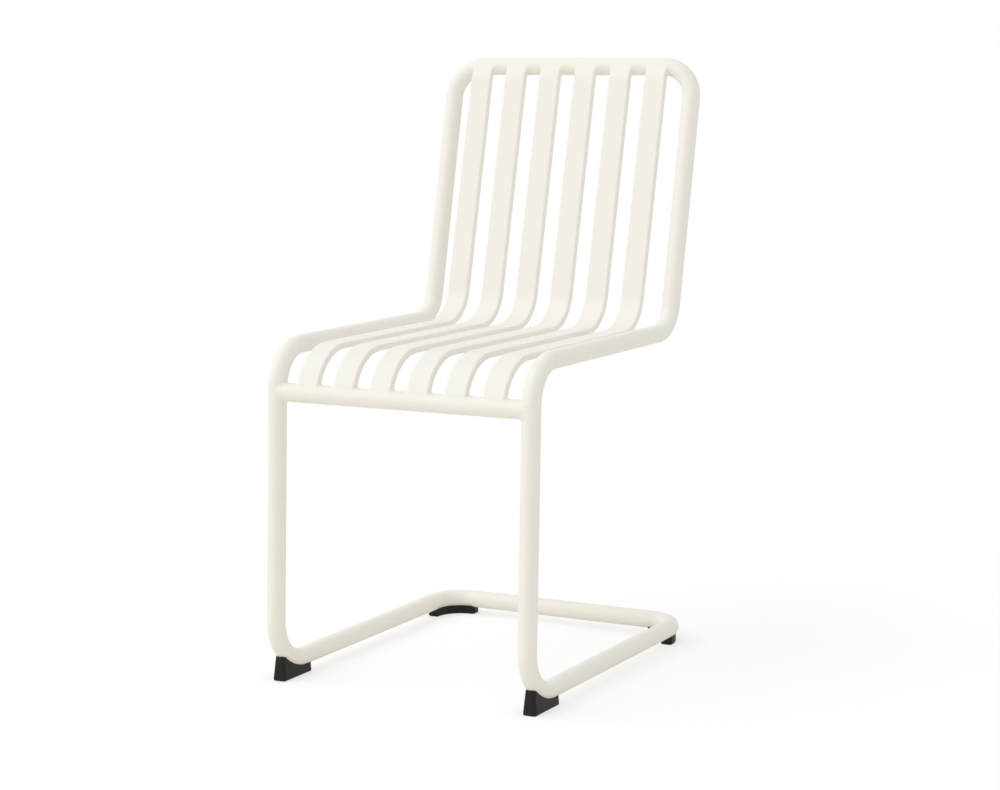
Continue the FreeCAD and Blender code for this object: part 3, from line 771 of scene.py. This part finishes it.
def slat_on_bar(across):
    """Both lines along a slat's flanges where they rest on the cross bar."""
    rest = hip + seat_up * bar_top - seat_along * BAR_SETBACK
    half_run = seat_along * (BAR_WIDTH / 2 - 2 * BAR_EDGE)
    edges = [Vector((across + side * slat_width / 2, 0, 0)) for side in (-1, 1)]
    return [[edge + rest - half_run, edge + rest + half_run] for edge in edges]


open_lines = [line for centre in slat_centres for line in slat_on_bar(centre)]
closed_lines = [bar_joint(-1), bar_joint(1)]
print("joint lines under the seat:", len(open_lines), "open,", len(closed_lines), "closed")


# %% [markdown]
# The bead's ripple comes from the length along the joint line: a sine wave that swells and thins the
# round section once for each step of the weld.

# %% Weld beads
BEAD_SIDES = 12
POINTS_IN_A_STEP = 4


def weld_bead_tree():
    """A round bead along a line, which swells and thins with the welder's steps."""
    tree, given = geometry_tree("weld_bead", [
        ("Bead radius", "NodeSocketFloat"), ("Step", "NodeSocketFloat"),
        ("Ripple", "NodeSocketFloat"), ("Paint", "NodeSocketMaterial")])
    curve = add_node(tree, "GeometryNodeMeshToCurve", {"Mesh": given["Geometry"]})["Curve"]
    spacing = add_node(tree, "ShaderNodeMath", {0: given["Step"], 1: POINTS_IN_A_STEP},
                       operation="DIVIDE")[0]
    fine = add_node(tree, "GeometryNodeResampleCurve", {"Curve": curve, "Length": spacing},
                    mode="LENGTH")["Curve"]
    run = add_node(tree, "GeometryNodeSplineParameter", {})["Length"]
    turns = add_node(tree, "ShaderNodeMath", {0: run, 1: given["Step"]}, operation="DIVIDE")[0]
    phase = add_node(tree, "ShaderNodeMath", {0: turns, 1: 2 * math.pi}, operation="MULTIPLY")[0]
    wave = add_node(tree, "ShaderNodeMath", {0: phase}, operation="SINE")[0]
    swell = add_node(tree, "ShaderNodeMath", {0: wave, 1: given["Ripple"], 2: 1.0},
                     operation="MULTIPLY_ADD")[0]
    rippled = add_node(tree, "GeometryNodeSetCurveRadius", {"Curve": fine, "Radius": swell})["Curve"]
    section = add_node(tree, "GeometryNodeCurvePrimitiveCircle", {
        "Resolution": BEAD_SIDES, "Radius": given["Bead radius"]})["Curve"]
    bead = add_node(tree, "GeometryNodeCurveToMesh", {
        "Curve": rippled, "Profile Curve": section, "Fill Caps": True})["Mesh"]
    smooth = add_node(tree, "GeometryNodeSetShadeSmooth", {"Geometry": bead})["Geometry"]
    close_tree(tree, smooth, given["Paint"])
    return tree


WELD_BEAD = weld_bead_tree()
BEAD_LOOKS = {"Bead radius": 0.0015, "Step": 0.0024, "Ripple": 0.08, "Paint": cream_paint}
for name, lines, closed in (("seat_weld_beads", open_lines, False),
                            ("bar_weld_beads", closed_lines, True)):
    settle(run_tree(path_object(name, lines, closed), WELD_BEAD, BEAD_LOOKS), "powder_coat")

# %% [markdown]
# The black glides are moulded plastic that cups the tube. Their CAD shape is already right, so each
# piece is a merged copy of its node with its sharp edges slightly rounded, as a mould leaves them.

# %% Glides
GLIDE_EDGE = 0.0005
GLIDE_EDGE_STEPS = 2
GLIDE_CREASE = math.radians(35)
MERGE_DISTANCE = 0.00002
MERGE_TURN = math.radians(1)
for node in ("glide_front_left", "glide_front_right", "glide_rear_left", "glide_rear_right"):
    copy_tool = bmesh.new()
    copy_tool.from_mesh(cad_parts[node].data)
    bmesh.ops.remove_doubles(copy_tool, verts=copy_tool.verts, dist=MERGE_DISTANCE)
    bmesh.ops.dissolve_limit(copy_tool, angle_limit=MERGE_TURN, verts=copy_tool.verts,
                             edges=copy_tool.edges)
    sharp = [edge for edge in copy_tool.edges
             if len(edge.link_faces) == 2 and edge.calc_face_angle() > GLIDE_CREASE]
    bmesh.ops.bevel(copy_tool, geom=sharp, offset=GLIDE_EDGE, segments=GLIDE_EDGE_STEPS,
                    affect="EDGES", clamp_overlap=True)
    for face in copy_tool.faces:
        face.smooth = True
    for edge in copy_tool.edges:
        edge.smooth = len(edge.link_faces) != 2 or edge.calc_face_angle() < GLIDE_CREASE
    glide = new_piece(node.replace("glide", "floor_glide"), copy_tool, black_plastic)
    settle(glide, "glide_plastic", node)
    print(glide.name, len(glide.data.polygons), "faces")

# %% [markdown]
# The spigots inside the butt joints of the runners can't be seen. They stay as CAD made them, in
# bare steel.

# %% Spigots
for node in ("joint_sleeve_left", "joint_sleeve_right"):
    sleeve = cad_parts[node].data
    sleeve.materials.clear()
    sleeve.materials.append(drawn_steel)
print("spigots in", drawn_steel.name)

# %% [markdown]
# The picture has a plain white ground with a faint soft shadow. The floor is pale and matt, and gives
# the chair its light from below. Eyes and mirrors see the same floor lifted almost to white, with
# only a part of the shadow left in it, and it fades into the white backdrop away from the chair.

# %% Floor
WHITE_STRENGTH = 1.0
FLOOR_HALF_SIZE = 6.0
FLOOR_COLOUR = (0.90, 0.885, 0.80, 1.0)
SEEN_COLOUR = (0.44, 0.44, 0.44, 1.0)
SEEN_LIFT = 0.58
FADE_START = 0.45
FADE_END = 1.1


def seen_rays(tree):
    """One for rays that an eye, a mirror or a lens follows, and zero for rays that only light."""
    rays = add_node(tree, "ShaderNodeLightPath", {})
    seen = add_node(tree, "ShaderNodeMath", {0: rays["Is Camera Ray"], 1: rays["Is Glossy Ray"]},
                    operation="MAXIMUM")[0]
    return add_node(tree, "ShaderNodeMath", {0: seen, 1: rays["Is Transmission Ray"]},
                    operation="MAXIMUM")[0]


def floor_material():
    """A matt floor for the light, and a nearly white one with a faint shadow for the eye."""
    material = bpy.data.materials.new("studio_floor")
    material.use_nodes = True
    tree = material.node_tree
    tree.nodes.remove(tree.nodes["Principled BSDF"])
    bounce = add_node(tree, "ShaderNodeBsdfDiffuse", {"Color": FLOOR_COLOUR})["BSDF"]
    shaded = add_node(tree, "ShaderNodeBsdfDiffuse", {"Color": SEEN_COLOUR})["BSDF"]
    lift = add_node(tree, "ShaderNodeEmission", {"Strength": SEEN_LIFT})["Emission"]
    near = add_node(tree, "ShaderNodeAddShader", {0: shaded, 1: lift})["Shader"]
    white = add_node(tree, "ShaderNodeEmission", {"Strength": WHITE_STRENGTH})["Emission"]
    place = add_node(tree, "ShaderNodeTexCoord", {})["Object"]
    away = add_node(tree, "ShaderNodeVectorMath", {0: place}, operation="LENGTH")["Value"]
    fade = add_node(tree, "ShaderNodeMapRange", {
        "Value": away, "From Min": FADE_START, "From Max": FADE_END},
        interpolation_type="SMOOTHSTEP")["Result"]
    ground = add_node(tree, "ShaderNodeMixShader", {0: fade, 1: near, 2: white})["Shader"]
    mixed = add_node(tree, "ShaderNodeMixShader", {0: seen_rays(tree), 1: bounce, 2: ground})["Shader"]
    tree.links.new(mixed, tree.nodes["Material Output"].inputs["Surface"])
    return material


floor_tool = bmesh.new()
bmesh.ops.create_grid(floor_tool, x_segments=1, y_segments=1, size=FLOOR_HALF_SIZE)
floor = new_piece("studio_floor", floor_tool, floor_material())
print("floor half size:", FLOOR_HALF_SIZE)

# %% [markdown]
# Soft studio light: an even sky does most of the work. A very soft lamp in front, to the left and
# above gives the paint its shape.

# %% Light
SKY_STRENGTH = 0.775
KEY_STRENGTH = 0.90
KEY_SPREAD = math.radians(55)
KEY_PLACE = Vector((-1.75, -1.35, 2.04))
LIT_POINT = Vector((0.0, 0.0, 0.0))


def studio_sky():
    """An even sky for the light, and plain white for the eye."""
    world = bpy.data.worlds.new("studio_sky")
    world.use_nodes = True
    tree = world.node_tree
    tree.nodes.clear()
    plain = {"Color": (1.0, 1.0, 1.0, 1.0)}
    lighting = add_node(tree, "ShaderNodeBackground", {**plain, "Strength": SKY_STRENGTH})["Background"]
    white = add_node(tree, "ShaderNodeBackground", {**plain, "Strength": WHITE_STRENGTH})["Background"]
    mixed = add_node(tree, "ShaderNodeMixShader", {0: seen_rays(tree), 1: lighting, 2: white})["Shader"]
    output = tree.nodes.new("ShaderNodeOutputWorld")
    tree.links.new(mixed, output.inputs["Surface"])
    return world


def aim(lamp, place, target):
    """The lamp at its place, turned towards its target."""
    lamp.location = place
    lamp.rotation_euler = (target - place).to_track_quat("-Z", "Y").to_euler()


scene.world = studio_sky()
key_lamp = bpy.data.lights.new("key_lamp", "SUN")
key_lamp.energy = KEY_STRENGTH
key_lamp.angle = KEY_SPREAD
key = bpy.data.objects.new("key_lamp", key_lamp)
scene.collection.objects.link(key)
aim(key, KEY_PLACE, LIT_POINT)
print("lamps:", key_lamp.name)

# %% [markdown]
# The camera stands where the photograph was taken from: a long lens, a little higher than the chair's
# back, to the front and right of the chair.

# %% Camera
CAMERA_PLACE = Vector((1.6531, -2.9922, 0.8803))
CAMERA_AZIMUTH = math.radians(28.6995)
CAMERA_DIP = math.radians(8.517)
CAMERA_ROLL = math.radians(-0.524)
SENSOR_WIDTH_MM = 36.0
FOCAL_LENGTH_MM = 90.24

lens = bpy.data.cameras.new("studio_camera")
lens.sensor_fit = "HORIZONTAL"
lens.sensor_width = SENSOR_WIDTH_MM
lens.lens = FOCAL_LENGTH_MM
camera = bpy.data.objects.new("studio_camera", lens)
scene.collection.objects.link(camera)
upright_turn = Matrix.Rotation(CAMERA_AZIMUTH, 4, "Z")
dip_turn = Matrix.Rotation(math.pi / 2 - CAMERA_DIP, 4, "X")
roll_turn = Matrix.Rotation(CAMERA_ROLL, 4, "Z")
camera.matrix_world = Matrix.Translation(CAMERA_PLACE) @ upright_turn @ dip_turn @ roll_turn
scene.camera = camera
scene.view_settings.view_transform = "Standard"
print("camera at", tuple(round(value, 3) for value in CAMERA_PLACE))
